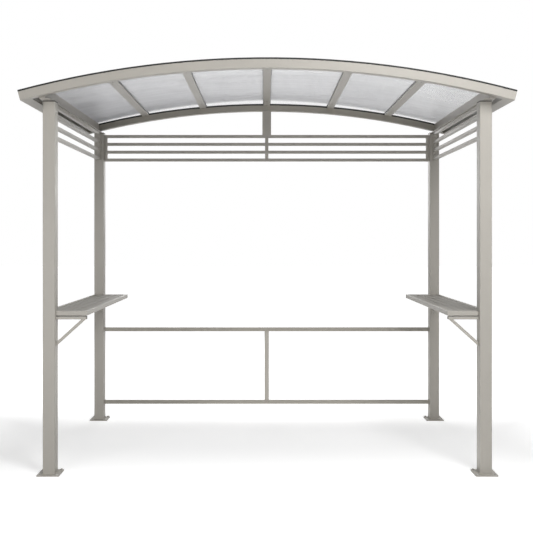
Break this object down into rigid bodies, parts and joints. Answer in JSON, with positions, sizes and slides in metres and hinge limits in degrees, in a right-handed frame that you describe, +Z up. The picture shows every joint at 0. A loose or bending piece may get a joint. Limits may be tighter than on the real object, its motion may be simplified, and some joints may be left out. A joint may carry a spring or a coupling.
{
  "type": "canopy shelter",
  "caption": "Open grill shelter with an arched translucent roof on square posts, slatted friezes, a back rail and a narrow slatted shelf at each end.",
  "frame": {"origin": "middle of the bounding box at ground level", "axes": "+X to the right seen from the open front, +Y from the front to the back, +Z up"},
  "size_m": [2.582, 1.4736, 2.187],
  "materials": {
    "frame": "warm grey powder coat, satin",
    "base_plate": "warm grey powder coat, satin",
    "slat": "warm grey powder coat, satin",
    "cover_strip": "warm grey powder coat, satin",
    "post_cap": "matt black moulding",
    "seal": "matt black extrusion",
    "roof_sheet": "translucent twin-wall sheet, smooth"
  },
  "bodies": {
    "root": {"back_rail_upright": "frame", "centre_purlin": "frame", "front_arch": "frame", "front_edge_trim": "seal", "front_left_base_plate": "base_plate", "front_left_post": "frame", "front_right_base_plate": "base_plate", "front_right_post": "frame", "joint_cover_strips": "cover_strip", "king_post": "frame", "left_eave_beam": "frame", "left_header_beam": "frame", "left_inner_purlin": "frame", "left_outer_purlin": "frame", "left_shelf_bracket": "frame", "left_shelf_cleat": "frame", "left_shelf_frame": "frame", "left_shelf_slats": "slat", "left_side_frieze": "frame", "lower_back_rail": "frame", "post_caps": "post_cap", "rear_arch": "frame", "rear_edge_trim": "seal", "rear_frieze": "frame", "rear_left_base_plate": "base_plate", "rear_left_post": "frame", "rear_right_base_plate": "base_plate", "rear_right_post": "frame", "right_eave_beam": "frame", "right_header_beam": "frame", "right_inner_purlin": "frame", "right_outer_purlin": "frame", "right_shelf_bracket": "frame", "right_shelf_cleat": "frame", "right_shelf_frame": "frame", "right_shelf_slats": "slat", "right_side_frieze": "frame", "roof_sheet_1": "roof_sheet", "roof_sheet_2": "roof_sheet", "roof_sheet_3": "roof_sheet", "roof_sheet_4": "roof_sheet", "roof_sheet_5": "roof_sheet", "roof_sheet_6": "roof_sheet", "upper_back_rail": "frame"}
  },
  "joints": []
}
